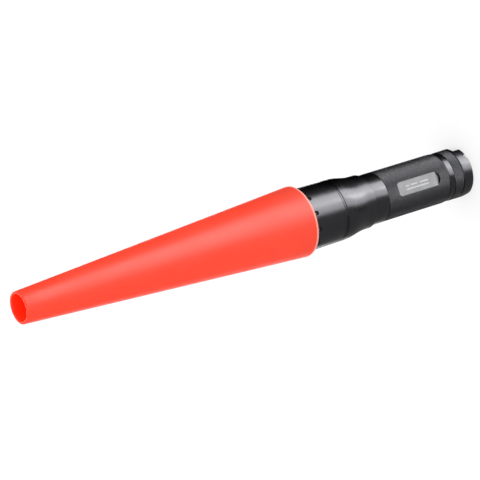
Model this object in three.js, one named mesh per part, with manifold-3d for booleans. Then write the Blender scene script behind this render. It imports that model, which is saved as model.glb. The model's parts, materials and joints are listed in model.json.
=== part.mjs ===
// A traffic baton light: a focusing LED torch that stands on its tail cap, with a red signal cone pushed on
// its head. Millimetres, +Z up along the torch. The origin is the centre of the plane that the tail cap
// stands on, and the cone points up. Each sub-part is one named mesh.

import * as THREE from "three";
import { mergeVertices } from "three/addons/utils/BufferGeometryUtils.js";
import Module from "manifold-3d";

const wasm = await Module();
wasm.setup();

// Driving dimensions.
const fineSides = 36;
const coarseSides = 24;
const runningGap = 0.2; // between a sliding piece and what it slides on
const faceGap = 0.2; // between two pieces that meet face to face

const bodyRadius = 15.15;
const capRadius = 15;
const neckRadius = 13.3; // the tube's slim front end, inside the focus sleeve
const headRadius = 18.7;
const splitRadius = 18.4; // the head is a little slimmer where the sleeve meets the bezel
const collarRadius = 16.15; // the focus sleeve's slim rear end
const boreRadius = 11.8; // the battery compartment
const coneRimRadius = 21.2;
const coneTipRadius = 9.35;
const coneWall = 1.4;

// Heights of the joints that can be seen from outside, from the tail upwards.
const capKnurlTop = 14;
const capTop = 17.7;
const tubeBottom = 17.9;
const shoulder = 74; // where the tube steps in to its neck
const sleeveBottom = 74.2;
const collarTop = 78.2;
const flareTop = 94.2;
const headSplit = 97.3; // the line between the focus sleeve and the bezel
const coneRim = 121;
const bezelTop = 133;
const coneTip = 309.8;

// Inside.
const neckTop = 103.2;
const crownInnerRadius = 12.3;
const spigotBore = 13.3; // the tube's threaded rear end
const spigotTop = 27; // the cap's threaded end, inside the tube
const spigotRadius = 13.1;
const capBore = 11.2;
const webBottom = 8;
const webTop = 9.4;
const lensTop = 130;
const lensBottom = 113.5;
const pillarTop = 115;
const cellRadius = 5.2;
const cellLength = 44.5;
const cellCircle = 6.15; // the circle that the three cells' axes stand on
const cellBottom = 32.8;
const cellTop = cellBottom + cellLength;

// Materials.
function paint(color, roughness, metalness = 0) {
  return new THREE.MeshStandardMaterial({ color, roughness, metalness });
}
const finishes = {
  blackAnodised: paint(0x1c1c1f, 0.38, 0.7),
  signalRed: paint(0xff4326, 0.5),
  rubber: paint(0x151515, 0.85),
  seal: paint(0x2a2a2a, 0.7),
  clear: paint(0xe8eef2, 0.05),
  alloy: paint(0xb9bcc0, 0.35, 0.9),
  brass: paint(0xc9a24a, 0.3, 0.9),
  spring: paint(0xc7c9cc, 0.3, 0.9),
  board: paint(0x16633a, 0.6),
  plate: paint(0x6d6d73, 0.45, 0.6),
  nylon: paint(0x222326, 0.6),
  cell: paint(0x2f4f86, 0.4, 0.3),
  emitter: paint(0xf2e27a, 0.3),
};

const torch = new THREE.Group();

function add(name, geometry, finish) {
  const mesh = new THREE.Mesh(geometry, finishes[finish]);
  mesh.name = name;
  torch.add(mesh);
  return mesh;
}

// A turned piece from a profile of [radius, height] points. A profile that doesn't run from the axis to the
// axis is closed on itself, and each one is put in the order that makes its faces point outwards.
function turned(profile, sides = coarseSides) {
  const points = profile.map(([r, z]) => new THREE.Vector2(r, z));
  const onAxis = points[0].x === 0 && points.at(-1).x === 0;
  if (THREE.ShapeUtils.area(points) < 0) points.reverse();
  if (!onAxis) points.push(points[0].clone());
  return new THREE.LatheGeometry(points, sides).rotateX(Math.PI / 2);
}

// A flat outline in X and Y, raised from low to high.
function raised(shape, low, high, curveSegments = 6) {
  const options = { depth: high - low, bevelEnabled: false, curveSegments };
  return new THREE.ExtrudeGeometry(shape, options).translate(0, 0, low);
}

function ring(inner, outer, low, high, sides) {
  return turned([[inner, low], [outer, low], [outer, high], [inner, high]], sides);
}

function disc(radius, low, high, sides) {
  return turned([[0, low], [radius, low], [radius, high], [0, high]], sides);
}

function solid(geometry) {
  const bare = (geometry.index ? geometry.toNonIndexed() : geometry.clone());
  bare.deleteAttribute("normal");
  bare.deleteAttribute("uv");
  const merged = mergeVertices(bare, 1e-4);
  return new wasm.Manifold(
    new wasm.Mesh({
      numProp: 3,
      vertProperties: merged.attributes.position.array,
      triVerts: new Uint32Array(merged.index.array),
    }),
  );
}

function cut(geometry, cutters) {
  let left = solid(geometry);
  for (const cutter of cutters) left = left.subtract(solid(cutter));
  const made = left.getMesh();
  const position = new THREE.BufferAttribute(new Float32Array(made.vertProperties), 3);
  return new THREE.BufferGeometry()
    .setAttribute("position", position)
    .setIndex(new THREE.BufferAttribute(made.triVerts, 1));
}

// An open coil spring, standing on low, whose radius runs evenly from bottomRadius to topRadius.
function coil(bottomRadius, topRadius, low, high, turns, wire) {
  class Helix extends THREE.Curve {
    getPoint(t, target = new THREE.Vector3()) {
      const angle = 2 * Math.PI * turns * t;
      const r = THREE.MathUtils.lerp(bottomRadius, topRadius, t);
      const z = THREE.MathUtils.lerp(low + wire, high - wire, t);
      return target.set(r * Math.cos(angle), r * Math.sin(angle), z);
    }
  }
  const section = new THREE.Shape().absarc(0, 0, wire, 0, 2 * Math.PI);
  const steps = Math.round(turns * 12);
  return new THREE.ExtrudeGeometry(section, { steps, extrudePath: new Helix(), curveSegments: 3 });
}

function oRing(radius, thickness, middle) {
  return new THREE.TorusGeometry(radius, thickness, 6, coarseSides).translate(0, 0, middle);
}

// The signal cone: an even wall, open at the tip, with a bead that grips the bezel and a ledge that it stops
// against.
function signalCone() {
  const taper = (coneRimRadius - coneTipRadius) / (coneTip - coneRim);
  const inside = (z) => coneRimRadius - taper * (z - coneRim) - coneWall;
  const tipWall = 1.5;
  const softEdge = 0.5;
  const gripRadius = headRadius + 0.15;
  const ledge = bezelTop + faceGap;
  const ledgeRadius = 16.6;
  const profile = [
    [inside(coneRim) + softEdge / 2, coneRim],
    [coneRimRadius - softEdge, coneRim],
    [coneRimRadius, coneRim + softEdge],
    [coneTipRadius, coneTip - softEdge],
    [coneTipRadius - softEdge / 2, coneTip],
    [coneTipRadius - tipWall, coneTip],
    [coneTipRadius - tipWall, coneTip - 3],
    [inside(ledge + 6), ledge + 6],
    [ledgeRadius, ledge + 2],
    [ledgeRadius, ledge],
    [inside(ledge), ledge],
    [inside(129.5), 129.5],
    [gripRadius, 129],
    [gripRadius, 128],
    [inside(127.5), 127.5],
  ];
  add("signal_cone", turned(profile, fineSides), "signalRed");
}

// The focusing head: a flared sleeve that slides on the tube, and the bezel screwed to it, which holds the
// optic.
function focusHead() {
  const sleeveBore = neckRadius + runningGap;
  const chamberRadius = 15;
  const stopFace = 90.9; // meets the stop ring when the head is fully out
  const bushRadius = 14.2;
  const bushBottom = 75.6;
  const bushTop = 79.6;
  const threadRadius = 16.9;
  const threadTop = 103.3;
  const flareSteps = 6;
  const flare = [];
  for (let i = 0; i <= flareSteps; i++) {
    const t = i / flareSteps;
    const z = THREE.MathUtils.lerp(collarTop, flareTop, t);
    flare.push([THREE.MathUtils.lerp(collarRadius, splitRadius, t * t * (3 - 2 * t)), z]);
  }
  const edge = 0.25;
  const sleeve = [
    [sleeveBore, sleeveBottom],
    [collarRadius - edge, sleeveBottom],
    [collarRadius, sleeveBottom + edge],
    ...flare,
    [splitRadius, headSplit - faceGap - edge],
    [splitRadius - edge, headSplit - faceGap],
    [threadRadius, headSplit - faceGap],
    [threadRadius, threadTop],
    [chamberRadius, threadTop],
    [chamberRadius, stopFace],
    [sleeveBore, stopFace],
    [sleeveBore, bushTop],
    [bushRadius, bushTop],
    [bushRadius, bushBottom],
    [sleeveBore, bushBottom],
  ];
  add("focus_sleeve", turned(sleeve, fineSides), "blackAnodised");
  const play = 0.1;
  const bushBore = neckRadius + 0.15;
  const bush = ring(bushBore, bushRadius - play, bushBottom + play, bushTop - play, fineSides);
  add("glide_bush", bush, "nylon");

  const threadBore = threadRadius + 0.2;
  const fluteBottom = 117;
  const stopRadius = 14.4;
  const seatRadius = 16.6;
  const lipRadius = 14.8;
  const bezel = [
    [threadBore, headSplit],
    [splitRadius - edge, headSplit],
    [splitRadius, headSplit + edge],
    [headRadius, fluteBottom],
    [headRadius, bezelTop - 0.8],
    [headRadius - 0.8, bezelTop],
    [lipRadius + 0.6, bezelTop],
    [lipRadius, 132.4],
    [lipRadius, 131.3],
    [seatRadius, 131.3],
    [seatRadius, 107.9],
    [stopRadius, 105.7],
    [stopRadius, 103.7],
    [threadBore, 103.7],
  ];
  const fluteCount = 12;
  const fluteRadius = 1.3;
  const fluteTop = 131;
  const firstFlute = -86; // degrees round from +X
  const flutes = [];
  for (let i = 0; i < fluteCount; i++) {
    const length = fluteTop - fluteBottom - 2 * fluteRadius;
    const tool = new THREE.CapsuleGeometry(fluteRadius, length, 2, 6).rotateX(Math.PI / 2);
    tool.translate(headRadius - 0.2, 0, (fluteTop + fluteBottom) / 2);
    flutes.push(tool.rotateZ(THREE.MathUtils.degToRad(firstFlute + (i * 360) / fluteCount)));
  }
  add("front_bezel", cut(turned(bezel, fineSides), flutes), "blackAnodised");

  const flangeBottom = 127.8;
  const flangeRadius = 16.4;
  const cavityRadius = 5.8;
  const lens = [
    [0, 119.5],
    [cavityRadius - 1, 119.5],
    [cavityRadius, 118.5],
    [cavityRadius, lensBottom],
    [cavityRadius + 1, lensBottom],
    [11, 121.4],
    [14.6, flangeBottom],
    [flangeRadius, flangeBottom],
    [flangeRadius, lensTop],
    [9, lensTop],
    [7, 128.8],
    [0, 128.8],
  ];
  add("optic_lens", turned(lens), "clear");
  add("lens_o_ring", oRing(15.6, 0.55, 130.65), "seal");
  add("lens_retainer", ring(14.9, flangeRadius, 124.8, flangeBottom - faceGap), "nylon");
}

// The LED on its heat-sink pillar, which screws into the front of the tube.
function ledPillar() {
  const flangeRadius = 12;
  const postRadius = 4.8;
  const pillar = [
    [0, 93.2],
    [8.5, 93.2],
    [flangeRadius, 95],
    [flangeRadius, 102.6],
    [9, 102.6],
    [postRadius, 106.5],
    [postRadius, pillarTop],
    [0, pillarTop],
  ];
  add("led_pillar", turned(pillar), "alloy");
  const board = pillarTop + faceGap;
  add("led_board", disc(postRadius, board, board + 1, 24), "board");
  const emitter = board + 1 + 0.1;
  const domeRadius = 1.4;
  const profile = [[0, emitter], [1.8, emitter], [1.8, emitter + 0.5]];
  for (let i = 0; i <= 4; i++) {
    const angle = (i / 4) * (Math.PI / 2);
    const r = i === 4 ? 0 : domeRadius * Math.cos(angle);
    profile.push([r, emitter + 0.5 + domeRadius * Math.sin(angle)]);
  }
  add("led_emitter", turned(profile, 20), "emitter");
}

// The tube: a knurled grip with a flat for the name plate, a smooth collar, and a neck that the focus sleeve
// slides on, with two seals and a stop ring.
function bodyTube() {
  const frontBore = 12.2;
  const sealDepth = 0.95;
  const sealWidth = 1.2;
  const stopDepth = 0.5;
  const stopWidth = 1.4;
  const groove = (middle, width, depth) => [
    [neckRadius, middle - width / 2],
    [neckRadius - depth, middle - width / 2],
    [neckRadius - depth, middle + width / 2],
    [neckRadius, middle + width / 2],
  ];
  const sealHeights = [84, 89];
  const stopHeight = 100.2;
  const edge = 0.3;
  const tube = [
    [spigotBore, tubeBottom],
    [bodyRadius - edge, tubeBottom],
    [bodyRadius, tubeBottom + edge],
    [bodyRadius, shoulder],
    [neckRadius, shoulder],
    ...groove(sealHeights[0], sealWidth, sealDepth),
    ...groove(sealHeights[1], sealWidth, sealDepth),
    ...groove(stopHeight, stopWidth, stopDepth),
    [neckRadius, neckTop - edge],
    [neckRadius - edge, neckTop],
    [frontBore, neckTop],
    [frontBore, 93],
    [boreRadius, 93],
    [boreRadius, spigotTop + 2],
    [spigotBore, spigotTop + 1],
  ];

  const plateWidth = 8.2;
  const plateBottom = 27.1;
  const plateTop = 55.8;
  const plateThickness = 0.4;
  const pocketFloor = 13.95; // distance of the flat from the tube's axis
  const pocketWidth = plateWidth + 0.5;
  const pocketTop = plateTop + 0.25;
  const corner = 1.2;
  const half = pocketWidth / 2;
  // The pocket's outline has square sides, two round corners at the head end and a round tail end.
  const pocket = new THREE.Shape()
    .moveTo(-half, plateBottom)
    .quadraticCurveTo(0, plateBottom - 4.6, half, plateBottom)
    .lineTo(half, pocketTop - corner)
    .quadraticCurveTo(half, pocketTop, half - corner, pocketTop)
    .lineTo(-half + corner, pocketTop)
    .quadraticCurveTo(-half, pocketTop, -half, pocketTop - corner);
  const cutter = raised(pocket, pocketFloor, bodyRadius + 1, 8).rotateX(Math.PI / 2);
  add("body_tube", cut(turned(tube, fineSides), [cutter]), "blackAnodised");

  const side = plateWidth / 2;
  const round = 1;
  const outline = new THREE.Shape()
    .moveTo(-side, plateBottom)
    .lineTo(side, plateBottom)
    .lineTo(side, plateTop - round)
    .quadraticCurveTo(side, plateTop, side - round, plateTop)
    .lineTo(-side + round, plateTop)
    .quadraticCurveTo(-side, plateTop, -side, plateTop - round);
  const low = pocketFloor + 0.05;
  add("name_plate", raised(outline, low, low + plateThickness).rotateX(Math.PI / 2), "plate");

  const sealRadius = 0.45;
  const names = ["focus_o_ring_lower", "focus_o_ring_upper"];
  names.forEach((name, i) => {
    add(name, oRing(neckRadius + 0.05 - sealRadius, sealRadius, sealHeights[i]), "seal");
  });
  const stopHalf = stopWidth / 2 - 0.1;
  const stopInner = neckRadius - stopDepth + 0.1;
  add("stop_ring", ring(stopInner, 14.5, stopHeight - stopHalf, stopHeight + stopHalf), "spring");
}

// The driver in the front of the tube: its board with a choke and a chip, the ring that holds it and its
// spring.
function driver() {
  const boardRadius = boreRadius - 0.2;
  const boardBottom = 86.7;
  const boardTop = 88.2;
  add("driver_board", disc(boardRadius, boardBottom, boardTop), "board");
  add("driver_retainer", ring(11, boardRadius, boardTop + faceGap, 90.4), "alloy");
  const choke = ring(1.2, 3, boardTop + faceGap, boardTop + 2.6, 20).translate(-4.5, 0, 0);
  add("driver_choke", choke, "seal");
  const chip = new THREE.BoxGeometry(4.4, 5, 1.2).translate(4.5, 0, boardTop + faceGap + 0.6);
  add("driver_chip", chip, "nylon");
  add("front_spring", coil(3.6, 2.4, 81.5, boardBottom - faceGap, 4, 0.4), "spring");
}

// The battery cartridge: two end plates on a spine, three AAA cells and the contacts that join them.
function batteryCartridge() {
  const plateRadius = boreRadius - 0.3;
  const plateDepth = 2.2;
  const stripDepth = 0.4;
  const rearPlateTop = cellBottom - 2 * faceGap - stripDepth;
  const frontPlateBottom = cellTop + 2 * faceGap + stripDepth;
  const rearPlateBottom = rearPlateTop - plateDepth;
  const frontPlateTop = frontPlateBottom + plateDepth;
  add("cartridge_rear_plate", disc(plateRadius, rearPlateBottom, rearPlateTop), "nylon");
  add("cartridge_front_plate", disc(plateRadius, frontPlateBottom, frontPlateTop), "nylon");
  add("cartridge_spine", disc(0.7, rearPlateTop, frontPlateBottom, 12), "nylon");
  add("rear_contact_disc", disc(4, rearPlateBottom - 0.4, rearPlateBottom, 24), "brass");
  add("front_contact_pin", disc(2, frontPlateTop, frontPlateTop + 0.9, 20), "brass");

  const cellCount = 3;
  const places = [];
  for (let i = 0; i < cellCount; i++) {
    const angle = Math.PI / 2 + (i * 2 * Math.PI) / cellCount;
    const bead = 0.5;
    const nub = 0.9;
    const cell = [
      [0, cellBottom],
      [cellRadius - bead, cellBottom],
      [cellRadius, cellBottom + bead],
      [cellRadius, cellTop - nub - bead],
      [cellRadius - bead, cellTop - nub],
      [1.9, cellTop - nub],
      [1.9, cellTop],
      [0, cellTop],
    ];
    // Cells in series stand with alternate ends up.
    const upright = turned(cell, 24);
    if (i % 2) upright.rotateX(Math.PI).translate(0, 0, cellBottom + cellTop);
    const place = new THREE.Vector3(cellCircle * Math.cos(angle), cellCircle * Math.sin(angle), 0);
    places.push(place);
    add(`cell_${i + 1}`, upright.translate(place.x, place.y, 0), "cell");
  }

  // A strip joins two neighbouring cells: the first two at the front, and the last two at the rear.
  function contactStrip(name, from, to, low) {
    const end = 2.2;
    const reach = from.distanceTo(to) / 2;
    const strip = new THREE.Shape()
      .absarc(reach, 0, end, -Math.PI / 2, Math.PI / 2)
      .absarc(-reach, 0, end, Math.PI / 2, 1.5 * Math.PI);
    const turn = Math.atan2(to.y - from.y, to.x - from.x);
    const middle = from.clone().lerp(to, 0.5);
    add(name, raised(strip, low, low + stripDepth).rotateZ(turn).translate(middle.x, middle.y, 0), "brass");
  }
  contactStrip("front_contact_strip", places[0], places[1], cellTop + faceGap);
  contactStrip("rear_contact_strip", places[1], places[2], rearPlateTop + faceGap);
}

// The tail cap: a notched crown that it stands on, a knurled grip with a smooth band, and a threaded spigot.
function tailCap() {
  const bandDepth = 0.2;
  const edge = 0.35;
  const root = 12.8;
  const sealGroove = 12.05;
  const sealMiddle = 20.6;
  const sealHalf = 0.7;
  const cap = [
    [crownInnerRadius, 0],
    [capRadius - 0.8, 0],
    [capRadius, 0.8],
    [capRadius, capKnurlTop],
    [capRadius - bandDepth, capKnurlTop + bandDepth],
    [capRadius - bandDepth, capTop - edge],
    [capRadius - bandDepth - edge, capTop],
    [root, capTop],
    [root, sealMiddle - sealHalf],
    [sealGroove, sealMiddle - sealHalf],
    [sealGroove, sealMiddle + sealHalf],
    [root, sealMiddle + sealHalf],
    [spigotRadius, sealMiddle + 1.1],
    [spigotRadius, spigotTop - 0.5],
    [spigotRadius - 0.5, spigotTop],
    [capBore, spigotTop],
    [capBore, webTop],
    [6.7, webTop],
    [6.7, webBottom],
    [crownInnerRadius, webBottom],
  ];

  // Two deep notches and two slanted flats, with a lug left between each pair. Every cut leans outwards, so
  // that it is deepest at the outside of the crown.
  const below = -14;
  const reach = 14;
  const cuts = [
    { centre: -33, depth: 5.3, lean: 35, from: 0, to: reach, slope: 0 },
    { centre: -66, depth: 3, lean: 50, from: -reach, to: 3.6, slope: 0.4 },
  ];
  const tools = [];
  for (const { centre, depth, lean, from, to, slope } of cuts) {
    const outline = new THREE.Shape()
      .moveTo(from, below)
      .lineTo(from, slope * (from - to))
      .lineTo(to, 0)
      .lineTo(to, below);
    for (const side of [0, 180]) {
      // Drawn across the radius, then pushed out along +X through one wall of the crown.
      const tool = raised(outline, -8, 8).rotateX(Math.PI / 2).rotateZ(Math.PI / 2);
      tool.rotateY(-THREE.MathUtils.degToRad(lean)).translate(capRadius, 0, depth);
      tools.push(tool.rotateZ(THREE.MathUtils.degToRad(centre + side)));
    }
  }
  add("tail_cap", cut(turned(cap, fineSides), tools), "blackAnodised");
  add("tail_o_ring", oRing(sealGroove + 0.6, 0.5, sealMiddle), "seal");
}

// The push switch in the tail: the rubber button and its plunger, the switch on its board, and the cell
// spring.
function tailSwitch() {
  const dome = 4.6;
  const buttonRadius = 6.3;
  const flangeBottom = webTop + faceGap;
  const flangeTop = flangeBottom + 0.8;
  const button = [
    [0, dome],
    [3, dome + 0.15],
    [5, dome + 0.6],
    [buttonRadius, dome + 1.6],
    [buttonRadius, flangeBottom],
    [7.6, flangeBottom],
    [7.6, flangeTop],
    [0, flangeTop],
  ];
  add("push_button", turned(button), "rubber");
  add("switch_plunger", disc(2, flangeTop + faceGap, flangeTop + 3.4, 16), "nylon");
  const housingBottom = flangeTop + 2.4;
  const housingTop = housingBottom + 4.6;
  const housing = [
    [0, housingTop - 1.6],
    [2.4, housingTop - 1.6],
    [2.4, housingBottom],
    [6.2, housingBottom],
    [6.2, housingTop],
    [0, housingTop],
  ];
  add("switch_housing", turned(housing, 24), "nylon");
  const boardBottom = housingTop + faceGap;
  const boardTop = boardBottom + 1.2;
  add("switch_board", disc(capBore - faceGap, boardBottom, boardTop), "board");
  const above = boardTop + faceGap;
  add("switch_retainer", ring(9.2, capBore - faceGap, above, above + 2), "alloy");
  add("tail_spring", coil(5, 2.6, above, 29.1, 5, 0.45), "spring");
}

signalCone();
focusHead();
ledPillar();
bodyTube();
driver();
batteryCartridge();
tailCap();
tailSwitch();

export default torch;
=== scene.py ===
import json
import math

import bmesh
import bpy
from mathutils import Matrix, Quaternion, Vector


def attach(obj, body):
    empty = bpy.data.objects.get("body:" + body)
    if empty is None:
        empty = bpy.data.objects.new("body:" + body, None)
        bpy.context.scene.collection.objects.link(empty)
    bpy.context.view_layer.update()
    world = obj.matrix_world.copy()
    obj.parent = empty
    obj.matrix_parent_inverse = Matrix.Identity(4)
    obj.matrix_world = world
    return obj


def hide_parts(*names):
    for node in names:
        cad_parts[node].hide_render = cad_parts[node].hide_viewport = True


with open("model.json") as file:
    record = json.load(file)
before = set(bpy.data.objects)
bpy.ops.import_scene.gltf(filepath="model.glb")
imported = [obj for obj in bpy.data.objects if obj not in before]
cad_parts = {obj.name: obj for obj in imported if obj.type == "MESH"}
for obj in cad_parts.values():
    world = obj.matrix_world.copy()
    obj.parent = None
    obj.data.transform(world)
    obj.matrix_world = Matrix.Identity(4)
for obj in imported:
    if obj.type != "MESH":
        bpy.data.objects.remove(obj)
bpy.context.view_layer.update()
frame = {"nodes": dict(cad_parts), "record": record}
mm = 0.001
print("frame loaded")

# ---- mesh helpers: every profile is [radius, height] or [radius, height, rounding], in millimetres


def profileLine(points, steps=4):
    line = []
    for i, point in enumerate(points):
        here = Vector(point[:2])
        if len(point) == 2:
            line.append(here)
            continue
        before = Vector(points[i - 1][:2])
        after = Vector(points[(i + 1) % len(points)][:2])
        start = here + (before - here).normalized() * point[2]
        end = here + (after - here).normalized() * point[2]
        for step in range(steps + 1):
            t = step / steps
            line.append(start.lerp(here, t).lerp(here.lerp(end, t), t))
    return line


# The knurl: every other vertex of a band of small quads is sunk, and the sunk ones are joined across each
# quad, which leaves rows of four-sided points. The shoulder is the plain step at each end of a band, and the
# band is how deep the knurled finish reaches.
knurl = {"row": 0.68, "depth": 0.24, "segments": 156, "shoulder": 0.3, "band": 0.4}


def turned(points, segments=knurl["segments"], closed=True):
    bm = bmesh.new()
    verts = [bm.verts.new((p.x * mm, 0, p.y * mm)) for p in profileLine(points)]
    ends = verts[1:] + verts[:1] if closed else verts[1:]
    edges = [bm.edges.new(pair) for pair in zip(verts, ends)]
    turn = 2 * math.pi
    bmesh.ops.spin(bm, geom=verts + edges, axis=(0, 0, 1), angle=turn, steps=segments, use_merge=True)
    bmesh.ops.remove_doubles(bm, verts=bm.verts, dist=1e-6)
    bmesh.ops.recalc_face_normals(bm, faces=bm.faces)
    return bm


def smoothStep(low, high, t):
    return low + (high - low) * t * t * (3 - 2 * t)


def prism(outline, low, high):
    # a flat outline in X and Y, raised from low to high
    bm = bmesh.new()
    face = bm.faces.new([bm.verts.new((x * mm, y * mm, low * mm)) for x, y in outline])
    made = bmesh.ops.extrude_face_region(bm, geom=[face])
    top = [item for item in made["geom"] if isinstance(item, bmesh.types.BMVert)]
    bmesh.ops.translate(bm, verts=top, vec=(0, 0, (high - low) * mm))
    bmesh.ops.recalc_face_normals(bm, faces=bm.faces)
    return bm


def turnedForward(bm):
    # turns a prism that was raised along +Z to face -Y
    bmesh.ops.rotate(bm, verts=bm.verts, matrix=Matrix.Rotation(math.pi / 2, 3, "X"))
    return bm


def arc(x, y, radius, start, end, steps=8):
    angles = [math.radians(start + (end - start) * i / steps) for i in range(steps + 1)]
    return [(x + radius * math.cos(a), y + radius * math.sin(a)) for a in angles]


def meshFrom(bm, name):
    mesh = bpy.data.meshes.new(name)
    bm.to_mesh(mesh)
    bm.free()
    return mesh


def joined(parts):
    whole = bmesh.new()
    for part in parts:
        mesh = meshFrom(part, "part")
        whole.from_mesh(mesh)
        bpy.data.meshes.remove(mesh)
    return whole


def makeObject(bm, name):
    piece = bpy.data.objects.new(name, meshFrom(bm, name))
    bpy.context.scene.collection.objects.link(piece)
    return piece


def cutAway(piece, cutters):
    tool = makeObject(cutters, "cutter")
    modifier = piece.modifiers.new("cut", "BOOLEAN")
    modifier.object = tool
    modifier.solver = "EXACT"
    depsgraph = bpy.context.evaluated_depsgraph_get()
    made = bpy.data.meshes.new_from_object(piece.evaluated_get(depsgraph))
    made.name = piece.name
    made.materials.clear()
    piece.modifiers.clear()
    piece.data = made
    bpy.data.objects.remove(tool)


def useSecond(piece, isWithin):
    # gives the faces whose middles are within a part of the piece its second material
    for face in piece.data.polygons:
        face.material_index = int(isWithin(*(face.center / mm)))


def finishPiece(piece, materials, body, nodes, sharpAngle=32):
    mesh = piece.data
    for material in materials:
        mesh.materials.append(material)
    mesh.shade_smooth()
    mesh.set_sharp_from_angle(angle=math.radians(sharpAngle))
    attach(piece, body)
    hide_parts(*nodes)


def knurlRows(radius, low, high):
    count = round((high - low) / knurl["row"])
    return [[radius, low + (high - low) * i / count] for i in range(count + 1)]


def cutKnurl(bm, radius, low, high):
    count = round((high - low) / knurl["row"])
    sunk = []
    for vert in bm.verts:
        x, y, z = vert.co / mm
        if low - 0.01 < z < high + 0.01 and abs(math.hypot(x, y) - radius) < 0.01:
            around = round(math.atan2(y, x) / (2 * math.pi) * knurl["segments"])
            row = round((z - low) / (high - low) * count)
            if (around + row) % 2:
                sunk.append(vert)
    for vert in sunk:
        vert.co.x *= 1 - knurl["depth"] / radius
        vert.co.y *= 1 - knurl["depth"] / radius
    bmesh.ops.connect_verts(bm, verts=sunk)


# ---- node groups that several finishes share


def groupSockets(group, inputs, outputs):
    for name, kind, value in inputs:
        socket = group.interface.new_socket(name, in_out="INPUT", socket_type=kind)
        if value is not None:
            socket.default_value = value
    for name, kind in outputs:
        group.interface.new_socket(name, in_out="OUTPUT", socket_type=kind)


def makeGrainGroup():
    # fine grain: roughness that drifts between two values, and a small bump
    group = bpy.data.node_groups.new("fineGrain", "ShaderNodeTree")
    groupSockets(
        group,
        [
            ("Scale", "NodeSocketFloat", 900.0),
            ("Low Roughness", "NodeSocketFloat", 0.3),
            ("High Roughness", "NodeSocketFloat", 0.4),
            ("Bump", "NodeSocketFloat", 0.1),
            ("Height", "NodeSocketFloat", 0.00002),
        ],
        [("Roughness", "NodeSocketFloat"), ("Normal", "NodeSocketVector")],
    )
    nodes, links = group.nodes, group.links
    entry = nodes.new("NodeGroupInput")
    leave = nodes.new("NodeGroupOutput")
    place = nodes.new("ShaderNodeTexCoord")
    fine = nodes.new("ShaderNodeTexNoise")
    fine.inputs["Detail"].default_value = 4
    broad = nodes.new("ShaderNodeTexNoise")
    broad.inputs["Scale"].default_value = 45
    broad.inputs["Detail"].default_value = 5
    spread = nodes.new("ShaderNodeMapRange")
    spread.inputs["From Min"].default_value = 0.3
    spread.inputs["From Max"].default_value = 0.7
    bump = nodes.new("ShaderNodeBump")
    links.new(place.outputs["Object"], fine.inputs["Vector"])
    links.new(place.outputs["Object"], broad.inputs["Vector"])
    links.new(entry.outputs["Scale"], fine.inputs["Scale"])
    links.new(broad.outputs["Fac"], spread.inputs["Value"])
    links.new(entry.outputs["Low Roughness"], spread.inputs["To Min"])
    links.new(entry.outputs["High Roughness"], spread.inputs["To Max"])
    links.new(entry.outputs["Bump"], bump.inputs["Strength"])
    links.new(entry.outputs["Height"], bump.inputs["Distance"])
    links.new(fine.outputs["Fac"], bump.inputs["Height"])
    links.new(spread.outputs["Result"], leave.inputs["Roughness"])
    links.new(bump.outputs["Normal"], leave.inputs["Normal"])
    return group


def makeToneGroup():
    # a base colour that drifts a little, with specks of a third colour
    group = bpy.data.node_groups.new("driftingTone", "ShaderNodeTree")
    groupSockets(
        group,
        [
            ("First Colour", "NodeSocketColor", None),
            ("Second Colour", "NodeSocketColor", None),
            ("Speck Colour", "NodeSocketColor", None),
            ("Scale", "NodeSocketFloat", 30.0),
            ("Specks", "NodeSocketFloat", 0.2),
        ],
        [("Colour", "NodeSocketColor")],
    )
    nodes, links = group.nodes, group.links
    entry = nodes.new("NodeGroupInput")
    leave = nodes.new("NodeGroupOutput")
    place = nodes.new("ShaderNodeTexCoord")
    drift = nodes.new("ShaderNodeTexNoise")
    drift.inputs["Detail"].default_value = 6
    specks = nodes.new("ShaderNodeTexNoise")
    specks.inputs["Scale"].default_value = 1400
    sharp = nodes.new("ShaderNodeMapRange")
    sharp.inputs["From Min"].default_value = 0.62
    sharp.inputs["From Max"].default_value = 0.72
    amount = nodes.new("ShaderNodeMath")
    amount.operation = "MULTIPLY"
    tone = nodes.new("ShaderNodeMix")
    tone.data_type = "RGBA"
    flecked = nodes.new("ShaderNodeMix")
    flecked.data_type = "RGBA"
    links.new(place.outputs["Object"], drift.inputs["Vector"])
    links.new(place.outputs["Object"], specks.inputs["Vector"])
    links.new(entry.outputs["Scale"], drift.inputs["Scale"])
    links.new(specks.outputs["Fac"], sharp.inputs["Value"])
    links.new(sharp.outputs["Result"], amount.inputs[0])
    links.new(entry.outputs["Specks"], amount.inputs[1])
    links.new(drift.outputs["Fac"], tone.inputs["Factor"])
    links.new(entry.outputs["First Colour"], tone.inputs["A"])
    links.new(entry.outputs["Second Colour"], tone.inputs["B"])
    links.new(amount.outputs["Value"], flecked.inputs["Factor"])
    links.new(tone.outputs["Result"], flecked.inputs["A"])
    links.new(entry.outputs["Speck Colour"], flecked.inputs["B"])
    links.new(flecked.outputs["Result"], leave.inputs["Colour"])
    return group


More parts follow.
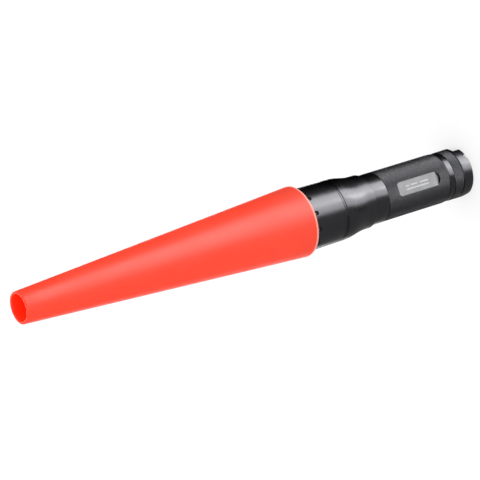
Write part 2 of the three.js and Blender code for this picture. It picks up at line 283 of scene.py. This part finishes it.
def makeTurningGroup():
    # the fine rings that a lathe tool leaves round the torch's axis
    group = bpy.data.node_groups.new("turningMarks", "ShaderNodeTree")
    groupSockets(
        group,
        [
            ("Pitch", "NodeSocketFloat", 6000.0),
            ("Bump", "NodeSocketFloat", 0.1),
            ("Normal", "NodeSocketVector", None),
        ],
        [("Normal", "NodeSocketVector")],
    )
    nodes, links = group.nodes, group.links
    entry = nodes.new("NodeGroupInput")
    leave = nodes.new("NodeGroupOutput")
    place = nodes.new("ShaderNodeTexCoord")
    split = nodes.new("ShaderNodeSeparateXYZ")
    along = nodes.new("ShaderNodeMath")
    along.operation = "MULTIPLY"
    rings = nodes.new("ShaderNodeTexNoise")
    rings.noise_dimensions = "1D"
    rings.inputs["Scale"].default_value = 1
    rings.inputs["Detail"].default_value = 3
    bump = nodes.new("ShaderNodeBump")
    bump.inputs["Distance"].default_value = 0.00001
    links.new(place.outputs["Object"], split.inputs["Vector"])
    links.new(split.outputs["Z"], along.inputs[0])
    links.new(entry.outputs["Pitch"], along.inputs[1])
    links.new(along.outputs["Value"], rings.inputs["W"])
    links.new(entry.outputs["Bump"], bump.inputs["Strength"])
    links.new(entry.outputs["Normal"], bump.inputs["Normal"])
    links.new(rings.outputs["Fac"], bump.inputs["Height"])
    links.new(bump.outputs["Normal"], leave.inputs["Normal"])
    return group


grainGroup = makeGrainGroup()
toneGroup = makeToneGroup()
turningGroup = makeTurningGroup()
print("node groups made")


def groupNode(material, group, **values):
    node = material.node_tree.nodes.new("ShaderNodeGroup")
    node.node_tree = group
    node.name = group.name
    for name, value in values.items():
        node.inputs[name.replace("_", " ")].default_value = value
    return node


def makeFinish(name, values):
    # values holds tones (three colours), toneScale, specks, roughness (low, high), grain, bump, turning, and
    # shader, which holds constants for the shader's own sockets
    material = bpy.data.materials.new(name)
    material.use_nodes = True
    nodes, links = material.node_tree.nodes, material.node_tree.links
    shader = nodes["Principled BSDF"]
    tones = [(*tone, 1) for tone in values["tones"]]
    tone = groupNode(
        material,
        toneGroup,
        First_Colour=tones[0],
        Second_Colour=tones[1],
        Speck_Colour=tones[2],
        Scale=values.get("toneScale", 30),
        Specks=values.get("specks", 0.2),
    )
    grain = groupNode(
        material,
        grainGroup,
        Scale=values.get("grain", 900),
        Low_Roughness=values["roughness"][0],
        High_Roughness=values["roughness"][1],
        Bump=values.get("bump", 0.1),
    )
    links.new(tone.outputs["Colour"], shader.inputs["Base Color"])
    links.new(grain.outputs["Roughness"], shader.inputs["Roughness"])
    normal = grain.outputs["Normal"]
    if values.get("turning"):
        rings = groupNode(material, turningGroup, Bump=values["turning"])
        links.new(normal, rings.inputs["Normal"])
        normal = rings.outputs["Normal"]
    links.new(normal, shader.inputs["Normal"])
    for socket, value in values.get("shader", {}).items():
        shader.inputs[socket].default_value = value
    return material


blackKnurl = makeFinish(
    "blackKnurl",
    {
        "tones": [(0.07, 0.07, 0.075), (0.1, 0.1, 0.107), (0.3, 0.3, 0.3)],
        "toneScale": 500,
        "specks": 0.5,
        "roughness": (0.36, 0.44),
        "grain": 2500,
        "bump": 0.2,
        "shader": {"Metallic": 0.9},
    },
)
blackAnodised = makeFinish(
    "blackAnodised",
    {
        "tones": [(0.085, 0.085, 0.09), (0.11, 0.11, 0.118), (0.2, 0.2, 0.2)],
        "specks": 0.15,
        "roughness": (0.24, 0.34),
        "grain": 2500,
        "bump": 0.12,
        "turning": 0.1,
        "shader": {"Metallic": 1.0},
    },
)
plateMarks = makeFinish(
    "plateMarks",
    {
        "tones": [(0.34, 0.34, 0.345), (0.42, 0.42, 0.425), (0.25, 0.25, 0.25)],
        "toneScale": 300,
        "specks": 0.4,
        "roughness": (0.35, 0.45),
        "grain": 1800,
        "bump": 0.2,
        "shader": {"Metallic": 0.9},
    },
)
plateGrey = makeFinish(
    "plateGrey",
    {
        "tones": [(0.15, 0.15, 0.155), (0.29, 0.29, 0.295), (0.42, 0.42, 0.42)],
        "toneScale": 160,
        "roughness": (0.38, 0.5),
        "grain": 1800,
        "bump": 0.3,
        "shader": {"Metallic": 0.9},
    },
)
sealRubber = makeFinish(
    "sealRubber",
    {
        "tones": [(0.02, 0.02, 0.02), (0.035, 0.035, 0.035), (0.1, 0.1, 0.1)],
        "roughness": (0.6, 0.75),
        "bump": 0.2,
    },
)
buttonRubber = makeFinish(
    "buttonRubber",
    {
        "tones": [(0.012, 0.012, 0.013), (0.025, 0.025, 0.026), (0.12, 0.12, 0.12)],
        "roughness": (0.55, 0.7),
        "grain": 1500,
        "bump": 0.4,
    },
)
blackNylon = makeFinish(
    "blackNylon",
    {
        "tones": [(0.03, 0.03, 0.034), (0.045, 0.045, 0.05), (0.1, 0.1, 0.1)],
        "roughness": (0.45, 0.6),
        "bump": 0.2,
    },
)
bareAlloy = makeFinish(
    "bareAlloy",
    {
        "tones": [(0.62, 0.63, 0.65), (0.75, 0.76, 0.78), (0.4, 0.4, 0.4)],
        "roughness": (0.25, 0.38),
        "turning": 0.4,
        "shader": {"Metallic": 1.0},
    },
)
boardGreen = makeFinish(
    "boardGreen",
    {
        "tones": [(0.01, 0.13, 0.05), (0.02, 0.2, 0.08), (0.5, 0.45, 0.25)],
        "toneScale": 300,
        "roughness": (0.3, 0.45),
    },
)
ledPhosphor = makeFinish(
    "ledPhosphor",
    {
        "tones": [(0.85, 0.75, 0.25), (0.95, 0.85, 0.35), (1, 1, 0.8)],
        "roughness": (0.12, 0.2),
        "shader": {"Coat Weight": 1.0},
    },
)
contactBrass = makeFinish(
    "contactBrass",
    {
        "tones": [(0.75, 0.52, 0.2), (0.85, 0.65, 0.3), (0.4, 0.25, 0.1)],
        "roughness": (0.22, 0.36),
        "shader": {"Metallic": 1.0},
    },
)
springSteel = makeFinish(
    "springSteel",
    {
        "tones": [(0.6, 0.6, 0.62), (0.75, 0.75, 0.77), (0.35, 0.32, 0.3)],
        "roughness": (0.2, 0.32),
        "shader": {"Metallic": 1.0},
    },
)
cellWrap = makeFinish(
    "cellWrap",
    {
        "tones": [(0.05, 0.11, 0.28), (0.07, 0.15, 0.36), (0.3, 0.35, 0.5)],
        "roughness": (0.2, 0.3),
        "shader": {"Coat Weight": 0.4},
    },
)
clearLens = makeFinish(
    "clearLens",
    {
        "tones": [(0.93, 0.96, 0.98), (0.96, 0.98, 1.0), (0.9, 0.95, 1.0)],
        "specks": 0.0,
        "roughness": (0.02, 0.05),
        "bump": 0.02,
        "shader": {"Transmission Weight": 1.0, "IOR": 1.49},
    },
)

# ---- the signal cone

cone = {
    "rim": 121.0,
    "tip": 309.8,
    "rimRadius": 21.2,
    "tipRadius": 9.35,
    "wall": 1.4,
    "tipWall": 1.5,
    "ledge": 133.2,
    "ledgeRadius": 16.6,
    "gripRadius": 18.85,
    "gripLow": 128.0,
    "gripHigh": 129.0,
    "lipWidth": 1.3,
    "lipLightFade": 0.35,
    "red": (1.0, 0.05, 0.011),
    "redDeep": (0.97, 0.04, 0.008),
    "redSpeck": (1.0, 0.08, 0.03),
    # painted light: the pale pink below stands in for light through the thin lip and on its rounded edge
    "lipPaintedLight": (1.0, 0.34, 0.28),
    # painted glow: this colour lights the inside of the cone in place of light through the wall
    "insidePaintedGlow": (1.0, 0.012, 0.0),
}


def makeConeFinish():
    material = makeFinish(
        "coneRed",
        {
            "tones": [cone["red"], cone["redDeep"], cone["redSpeck"]],
            "toneScale": 22,
            "specks": 0.35,
            "roughness": (0.42, 0.52),
            "grain": 1600,
            "bump": 0.12,
            "turning": 0.12,
            "shader": {
                "Subsurface Weight": 0.25,
                "Subsurface Radius": (0.004, 0.0006, 0.0003),
                "Subsurface Scale": 1.0,
                "Specular IOR Level": 0.45,
            },
        },
    )
    # painted light: the lip at the wide end is painted pale pink, standing in for light that comes through
    # its thin wall and catches its rounded edge
    nodes, links = material.node_tree.nodes, material.node_tree.links
    tone, shader = nodes["driftingTone"], nodes["Principled BSDF"]
    place = nodes.new("ShaderNodeTexCoord")
    split = nodes.new("ShaderNodeSeparateXYZ")
    edge = nodes.new("ShaderNodeMapRange")
    edge.interpolation_type = "SMOOTHSTEP"
    edge.inputs["From Min"].default_value = (cone["rim"] + cone["lipWidth"] + cone["lipLightFade"]) * mm
    edge.inputs["From Max"].default_value = (cone["rim"] + cone["lipWidth"] - cone["lipLightFade"]) * mm
    lip = nodes.new("ShaderNodeMix")
    lip.data_type = "RGBA"
    lip.inputs["B"].default_value = (*cone["lipPaintedLight"], 1)
    links.new(place.outputs["Object"], split.inputs["Vector"])
    links.new(split.outputs["Z"], edge.inputs["Value"])
    links.new(edge.outputs["Result"], lip.inputs["Factor"])
    links.new(tone.outputs["Colour"], lip.inputs["A"])
    links.new(lip.outputs["Result"], shader.inputs["Base Color"])
    return material


coneRed = makeConeFinish()
# painted glow: the inside faces get a deeper red and an emission, standing in for light that comes through
# the wall and fills the inside of the cone
coneInsidePaintedGlow = makeFinish(
    "coneInsidePaintedGlow",
    {
        "tones": [(0.98, 0.03, 0.006), (0.92, 0.025, 0.005), (1.0, 0.05, 0.02)],
        "toneScale": 22,
        "specks": 0.35,
        "roughness": (0.42, 0.52),
        "grain": 1600,
        "bump": 0.12,
        "turning": 0.12,
        "shader": {"Emission Color": (*cone["insidePaintedGlow"], 1), "Emission Strength": 0.5},
    },
)


def makeCone():
    taper = (cone["rimRadius"] - cone["tipRadius"]) / (cone["tip"] - cone["rim"])

    def outside(z):
        return cone["rimRadius"] - taper * (z - cone["rim"])

    def inside(z):
        return outside(z) - cone["wall"]

    rim, tip, ledge = cone["rim"], cone["tip"], cone["ledge"]
    tipBore = cone["tipRadius"] - cone["tipWall"]
    gripLow, gripHigh, gripSlope = cone["gripLow"], cone["gripHigh"], 0.5
    bands = 24
    skin = []
    for i in range(1, bands):
        z = rim + 2 + (tip - rim - 4) * i / bands
        skin.append([outside(z), z])
    profile = [
        [inside(rim) + 0.1, rim, 0.25],
        [outside(rim), rim, 0.5],
        [outside(rim + cone["lipWidth"]), rim + cone["lipWidth"]],
        *skin,
        [outside(tip), tip, 0.5],
        [tipBore, tip, 0.4],
        [tipBore, tip - 3, 1],
        [inside(ledge + 6), ledge + 6, 1],
        [cone["ledgeRadius"], ledge + 2, 0.4],
        [cone["ledgeRadius"], ledge, 0.3],
        [inside(ledge), ledge, 0.2],
        [inside(gripHigh + gripSlope), gripHigh + gripSlope],
        [cone["gripRadius"], gripHigh, 0.2],
        [cone["gripRadius"], gripLow, 0.2],
        [inside(gripLow - gripSlope), gripLow - gripSlope],
    ]
    piece = makeObject(turned(profile), "signalCone")
    half = cone["wall"] / 2
    # the inside faces take the painted glow
    useSecond(piece, lambda x, y, z: math.hypot(x, y) < outside(z) - half and z < tip - 0.5)
    finishPiece(piece, [coneRed, coneInsidePaintedGlow], "cone", ["signal_cone"])


makeCone()
print("cone made")

# ---- the head: the focus sleeve and the bezel

head = {
    "radius": 18.7,
    "splitRadius": 18.4,
    "collarRadius": 16.15,
    "sleeveBottom": 74.2,
    "collarTop": 78.2,
    "flareTop": 94.2,
    "split": 97.3,
    "bezelTop": 133.0,
    "sleeveBore": 13.5,
    "chamberRadius": 15.0,
    "stopFace": 90.9,
    "bushRadius": 14.2,
    "bushLow": 75.6,
    "bushHigh": 79.6,
    "threadRadius": 16.9,
    "threadTop": 103.3,
    "threadBore": 17.1,
    "seatRadius": 16.6,
    "lipRadius": 14.8,
    "groove": 0.18,
    "faceGap": 0.2,
    "flutes": 12,
    "fluteRadius": 1.3,
    "fluteSink": 0.2,
    "fluteBottom": 117.0,
    "fluteTop": 131.0,
    "firstFlute": -86.0,
}


def makeSleeve():
    bottom, radius = head["sleeveBottom"], head["splitRadius"]
    bore, thread, top = head["sleeveBore"], head["threadRadius"], head["split"] - head["faceGap"]
    flareSteps = 20
    flare = []
    for i in range(flareSteps + 1):
        t = i / flareSteps
        z = head["collarTop"] + (head["flareTop"] - head["collarTop"]) * t
        flare.append([smoothStep(head["collarRadius"], radius, t), z])
    profile = [
        [bore, bottom, 0.2],
        [head["collarRadius"], bottom, 0.35],
        *flare,
        [radius, top, 0.3],
        [thread, top],
        [thread, head["threadTop"], 0.3],
        [head["chamberRadius"], head["threadTop"]],
        [head["chamberRadius"], head["stopFace"]],
        [bore, head["stopFace"], 0.2],
        [bore, head["bushHigh"]],
        [head["bushRadius"], head["bushHigh"]],
        [head["bushRadius"], head["bushLow"]],
        [bore, head["bushLow"]],
    ]
    piece = makeObject(turned(profile), "focusSleeve")
    finishPiece(piece, [blackAnodised], "head", ["focus_sleeve"])


def makeBezel():
    radius, waist, split, top = head["radius"], head["splitRadius"], head["split"], head["bezelTop"]
    bore, seat, lip = head["threadBore"], head["seatRadius"], head["lipRadius"]
    profile = [
        [bore, split],
        [waist, split, 0.3],
        [waist, split + 1.05, 0.1],
        [waist - head["groove"], split + 1.2],
        [waist, split + 1.35, 0.1],
        [radius, head["fluteBottom"]],
        [radius, top, 0.9],
        [lip + 0.6, top, 0.2],
        [lip, 132.4, 0.2],
        [lip, 131.3],
        [seat, 131.3],
        [seat, 107.9],
        [14.4, 105.7],
        [14.4, 103.7],
        [bore, 103.7],
    ]
    piece = makeObject(turned(profile), "frontBezel")
    fluteRadius = head["fluteRadius"]
    half = (head["fluteTop"] - head["fluteBottom"]) / 2
    flutes = []
    for i in range(head["flutes"]):
        capsule = [
            [0, -half],
            [fluteRadius, -half, fluteRadius],
            [fluteRadius, half, fluteRadius],
            [0, half],
        ]
        flute = turned(capsule, segments=24, closed=False)
        middle = ((radius - head["fluteSink"]) * mm, 0, (head["fluteTop"] + head["fluteBottom"]) / 2 * mm)
        bmesh.ops.translate(flute, verts=flute.verts, vec=middle)
        angle = math.radians(head["firstFlute"] + 360 * i / head["flutes"])
        bmesh.ops.rotate(flute, verts=flute.verts, matrix=Matrix.Rotation(angle, 3, "Z"))
        flutes.append(flute)
    cutAway(piece, joined(flutes))
    finishPiece(piece, [blackAnodised], "head", ["front_bezel"])


def makeLens():
    profile = [
        [0, 119.5],
        [4.6, 119.5, 0.6],
        [5.8, 118.3],
        [5.8, 113.5, 0.2],
        [6.8, 113.5, 0.3],
        [11, 121.4, 3],
        [14.6, 127.8],
        [16.4, 127.8, 0.2],
        [16.4, 130, 0.3],
        [9, 130, 0.6],
        [7, 128.8, 0.8],
        [0, 128.8],
    ]
    piece = makeObject(turned(profile, segments=96, closed=False), "opticLens")
    finishPiece(piece, [clearLens], "head", ["optic_lens"])


makeSleeve()
makeBezel()
makeLens()
print("head made")

# ---- the tube, with its knurled grip and the pocket for the name plate

tube = {
    "radius": 15.15,
    "bottom": 17.9,
    "knurlLow": 18.45,
    "knurlHigh": 63.7,
    "shoulder": 74.0,
    "neckRadius": 13.3,
    "neckTop": 103.2,
    "spigotBore": 13.3,
    "bore": 11.8,
    "frontBore": 12.2,
    "boreLow": 29.0,
    "boreHigh": 93.0,
    "seals": (84.0, 89.0),
    "stopRing": 100.2,
}
pocket = {"halfWidth": 4.35, "low": 27.1, "high": 56.05, "corner": 1.2, "bow": 2.3, "floor": 13.95}


def grooved(radius, middle, width, depth):
    low, high = middle - width / 2, middle + width / 2
    return [[radius, low, 0.08], [radius - depth, low], [radius - depth, high], [radius, high, 0.08]]


def makeTube():
    radius, low, high = tube["radius"], tube["knurlLow"], tube["knurlHigh"]
    neck = tube["neckRadius"]
    sunk = radius - knurl["shoulder"]
    front, bore = tube["frontBore"], tube["bore"]
    profile = [
        [tube["spigotBore"], tube["bottom"], 0.3],
        [sunk, tube["bottom"], 0.2],
        [sunk, low - 0.25],
        *knurlRows(radius, low, high),
        [sunk, high + 0.2],
        [sunk, high + 0.4],
        [radius, high + 0.7, 0.1],
        [radius, tube["shoulder"], 0.3],
        [neck, tube["shoulder"]],
        *grooved(neck, tube["seals"][0], 1.2, 0.95),
        *grooved(neck, tube["seals"][1], 1.2, 0.95),
        *grooved(neck, tube["stopRing"], 1.4, 0.5),
        [neck, tube["neckTop"], 0.3],
        [front, tube["neckTop"], 0.2],
        [front, tube["boreHigh"]],
        [bore, tube["boreHigh"]],
        [bore, tube["boreLow"]],
        [tube["spigotBore"], tube["boreLow"] - 1],
    ]
    bm = turned(profile)
    cutKnurl(bm, radius, low, high)
    piece = makeObject(bm, "bodyTube")
    half, corner = pocket["halfWidth"], pocket["corner"]
    bowSteps = 12
    bow = []
    for i in range(bowSteps + 1):
        across = -1 + 2 * i / bowSteps
        bow.append((half * across, pocket["low"] - pocket["bow"] * (1 - across * across)))
    outline = [
        *bow,
        *arc(half - corner, pocket["high"] - corner, corner, 0, 90),
        *arc(corner - half, pocket["high"] - corner, corner, 90, 180),
    ]
    cutAway(piece, turnedForward(prism(outline, pocket["floor"], radius + 1)))
    useSecond(piece, lambda x, y, z: low < z < high and math.hypot(x, y) > radius - knurl["band"])
    metals = [blackAnodised, blackKnurl]
    finishPiece(piece, metals, "torch", ["body_tube"], sharpAngle=20)


# the name plate, with a raised border and plain engraved dashes

plate = {
    "halfWidth": 4.1,
    "low": 27.1,
    "high": 55.8,
    "corner": 1.7,
    "floor": 14.0,
    "thickness": 0.4,
    "border": 0.55,
    "sunk": 0.08,
    "dash": 0.7,
}
# each dash: its place across the plate, its start and its end
dashes = [(-1.2, 33, 50), (0.9, 33, 39.5), (0.9, 41, 46), (0.9, 47.5, 50)]


def plateOutline(inset):
    half, corner = plate["halfWidth"] - inset, plate["corner"] - inset
    low, high = plate["low"] + inset, plate["high"] - inset
    return [
        (-half, low),
        (half, low),
        *arc(half - corner, high - corner, corner, 0, 90),
        *arc(corner - half, high - corner, corner, 90, 180),
    ]


def makePlate():
    floor, sunk, dash = plate["floor"], plate["sunk"], plate["dash"] / 2
    top = floor + plate["thickness"]
    piece = makeObject(turnedForward(prism(plateOutline(0), floor, top)), "namePlate")
    cutAway(piece, turnedForward(prism(plateOutline(plate["border"]), top - sunk, top + 1)))
    grooves = []
    for across, start, end in dashes:
        left, right = across - dash, across + dash
        outline = [(left, start), (right, start), (right, end), (left, end)]
        grooves.append(turnedForward(prism(outline, top - 3 * sunk, top + 1)))
    cutAway(piece, joined(grooves))
    inner = plate["halfWidth"] - plate["border"] - 0.1
    useSecond(piece, lambda x, y, z: abs(x) < inner and floor + 0.05 < -y < top - 1.5 * sunk)
    finishPiece(piece, [plateGrey, plateMarks], "torch", ["name_plate"])


makeTube()
makePlate()
print("tube made")

# ---- the tail cap and its button

cap = {
    "radius": 15.0,
    "crownInner": 12.3,
    "knurlLow": 7.5,
    "knurlHigh": 13.7,
    "top": 17.7,
    "bandDepth": 0.2,
    "webBottom": 8.0,
    "webTop": 9.4,
    "buttonHole": 6.7,
    "bore": 11.2,
    "spigotTop": 27.0,
    "spigotRadius": 13.1,
    "rootRadius": 12.8,
    "sealRadius": 12.0,
    "cutBelow": -14.0,
    "cutReach": 8.0,
    "cuts": [
        {"centre": -33, "depth": 5.3, "lean": 35, "start": 0.0, "end": 14.0, "slope": 0.0},
        {"centre": -66, "depth": 3.0, "lean": 50, "start": -14.0, "end": 3.6, "slope": 0.4},
    ],
}


def makeCap():
    radius, low, high, top = cap["radius"], cap["knurlLow"], cap["knurlHigh"], cap["top"]
    band, sunk = radius - cap["bandDepth"], radius - knurl["shoulder"]
    root, seal, bore, hole = cap["rootRadius"], cap["sealRadius"], cap["bore"], cap["buttonHole"]
    profile = [
        [cap["crownInner"], 0, 0.3],
        [radius, 0, 0.9],
        [radius, low - 0.55, 0.1],
        [sunk, low - 0.25],
        *knurlRows(radius, low, high),
        [sunk, high + 0.2],
        [band, high + 0.45, 0.1],
        [band, top, 0.3],
        [root, top],
        [root, 19.9],
        [seal, 19.9],
        [seal, 21.3],
        [root, 21.3],
        [cap["spigotRadius"], 21.7],
        [cap["spigotRadius"], cap["spigotTop"], 0.5],
        [bore, cap["spigotTop"], 0.2],
        [bore, cap["webTop"]],
        [hole, cap["webTop"]],
        [hole, cap["webBottom"], 0.3],
        [cap["crownInner"], cap["webBottom"]],
    ]
    bm = turned(profile)
    cutKnurl(bm, radius, low, high)
    piece = makeObject(bm, "tailCap")
    # two deep notches and two slanted flats, with a lug between each pair, all leaning outwards
    below, reach = cap["cutBelow"], cap["cutReach"]
    upright = Matrix.Rotation(math.pi / 2, 3, "Z") @ Matrix.Rotation(math.pi / 2, 3, "X")
    notches = []
    for cut in cap["cuts"]:
        start, end, slope = cut["start"], cut["end"], cut["slope"]
        for side in (0, 180):
            outline = [(start, below), (start, slope * (start - end)), (end, 0), (end, below)]
            notch = prism(outline, -reach, reach)
            leaning = Matrix.Rotation(-math.radians(cut["lean"]), 3, "Y")
            around = Matrix.Rotation(math.radians(cut["centre"] + side), 3, "Z")
            bmesh.ops.rotate(notch, verts=notch.verts, matrix=leaning @ upright)
            bmesh.ops.translate(notch, verts=notch.verts, vec=(radius * mm, 0, cut["depth"] * mm))
            bmesh.ops.rotate(notch, verts=notch.verts, matrix=around)
            notches.append(notch)
    for notch in notches:
        bmesh.ops.recalc_face_normals(notch, faces=notch.faces)
        cutAway(piece, notch)
    useSecond(piece, lambda x, y, z: low < z < high and math.hypot(x, y) > radius - knurl["band"])
    metals = [blackAnodised, blackKnurl]
    finishPiece(piece, metals, "tail_cap", ["tail_cap"], sharpAngle=20)


def makeButton():
    profile = [
        [0, 4.6],
        [1.2, 4.62],
        [1.5, 4.75],
        [1.8, 4.66],
        [3.2, 4.8],
        [3.5, 4.94],
        [3.8, 4.88],
        [5.0, 5.2],
        [6.3, 6.2, 0.6],
        [6.3, 9.6],
        [7.6, 9.6, 0.2],
        [7.6, 10.4, 0.2],
        [0, 10.4],
    ]
    piece = makeObject(turned(profile, segments=96, closed=False), "pushButton")
    finishPiece(piece, [buttonRubber], "button", ["push_button"])


makeCap()
makeButton()
print("tail cap made")

# ---- the finishes of the pieces that keep their frame shape

slotFinishes = {
    "cone_red": coneRed,
    "black_anodised": blackAnodised,
    "plate_grey": plateGrey,
    "clear_lens": clearLens,
    "seal_rubber": sealRubber,
    "button_rubber": buttonRubber,
    "black_nylon": blackNylon,
    "bare_alloy": bareAlloy,
    "board_green": boardGreen,
    "led_phosphor": ledPhosphor,
    "contact_brass": contactBrass,
    "spring_steel": springSteel,
    "cell_wrap": cellWrap,
}
for row in frame["record"]["subparts"]:
    node = frame["nodes"][row["node"]]
    node.data.materials.clear()
    node.data.materials.append(slotFinishes[row["material_slot"]])
print("finishes set")

# ---- the studio

studio = {
    "floorSize": 12,
    "floorTone": (0.45, 0.45, 0.45),
    "floorGlow": 0.56,
    "sky": 1.15,
    "aimHeight": 161.8,
    "aimAside": -0.4,
    "cameraDistance": 1575.5,
    "cameraElevation": 31.85,
    "cameraRoll": -107.27,
    "lens": 206.9,
}


def makeFloor():
    bm = bmesh.new()
    bmesh.ops.create_grid(bm, x_segments=1, y_segments=1, size=studio["floorSize"] / 2)
    floor = makeObject(bm, "floor")
    material = bpy.data.materials.new("paleFloor")
    material.use_nodes = True
    shader = material.node_tree.nodes["Principled BSDF"]
    shader.inputs["Base Color"].default_value = (*studio["floorTone"], 1)
    shader.inputs["Roughness"].default_value = 1
    shader.inputs["Specular IOR Level"].default_value = 0
    shader.inputs["Emission Color"].default_value = (1, 1, 1, 1)
    shader.inputs["Emission Strength"].default_value = studio["floorGlow"]
    floor.data.materials.append(material)
    floor.visible_glossy = False
    floor.visible_shadow = False


def makeSky():
    world = bpy.data.worlds.new("softSky")
    bpy.context.scene.world = world
    world.use_nodes = True
    sky = world.node_tree.nodes["Background"]
    sky.inputs["Color"].default_value = (1, 1, 1, 1)
    sky.inputs["Strength"].default_value = studio["sky"]
    world.cycles_visibility.glossy = False


# Each softbox stands in the direction (azimuth, elevation) from the torch's middle: azimuth 0 is +X and
# -90 is -Y. Its radiance is what a mirror would show. Only reflections see the softboxes.
softboxes = {
    "key": {"azimuth": -43, "elevation": -37, "width": 0.8, "height": 2.0, "radiance": 4.8},
    "keyFade": {"azimuth": -74, "elevation": -37, "width": 0.8, "height": 2.0, "radiance": 3.3},
    "fill": {"azimuth": 180, "elevation": -40, "width": 4.5, "height": 1.6, "radiance": 0.26},
    "rightStrip": {"azimuth": 78, "elevation": 0, "width": 0.5, "height": 2.2, "radiance": 3.5},
    "leftStrip": {"azimuth": 122, "elevation": 0, "width": 0.5, "height": 2.2, "radiance": 1.5},
    "frontStrip": {"azimuth": -110, "elevation": 22, "width": 0.4, "height": 1.3, "radiance": 2.5},
}
softboxDistance = 1.5


def makeSoftboxes():
    middle = Vector((0, 0, studio["aimHeight"] * mm))
    for name, box in softboxes.items():
        light = bpy.data.lights.new(name, "AREA")
        light.shape = "RECTANGLE"
        light.size, light.size_y = box["width"], box["height"]
        light.energy = box["radiance"] * box["width"] * box["height"] * math.pi
        lamp = bpy.data.objects.new(name, light)
        azimuth, elevation = math.radians(box["azimuth"]), math.radians(box["elevation"])
        flat = math.cos(elevation)
        out = Vector((flat * math.cos(azimuth), flat * math.sin(azimuth), math.sin(elevation)))
        lamp.location = middle + out * softboxDistance
        lamp.rotation_mode = "QUATERNION"
        lamp.rotation_quaternion = out.to_track_quat("Z", "Y")
        lamp.visible_camera = False
        lamp.visible_diffuse = False
        bpy.context.scene.collection.objects.link(lamp)


def makeCamera():
    data = bpy.data.cameras.new("camera")
    data.lens = studio["lens"]
    data.sensor_width = 36
    camera = bpy.data.objects.new("camera", data)
    elevation = math.radians(studio["cameraElevation"])
    back = Vector((0, -math.cos(elevation), math.sin(elevation)))
    aim = Vector((studio["aimAside"], 0, studio["aimHeight"]))
    camera.location = (aim + back * studio["cameraDistance"]) * mm
    camera.rotation_mode = "QUATERNION"
    roll = Quaternion((0, 0, 1), math.radians(studio["cameraRoll"]))
    camera.rotation_quaternion = (-back).to_track_quat("-Z", "Y") @ roll
    bpy.context.scene.collection.objects.link(camera)
    bpy.context.scene.camera = camera


makeFloor()
makeSky()
makeSoftboxes()
makeCamera()
bpy.context.scene.view_settings.view_transform = "Standard"
print("studio made")
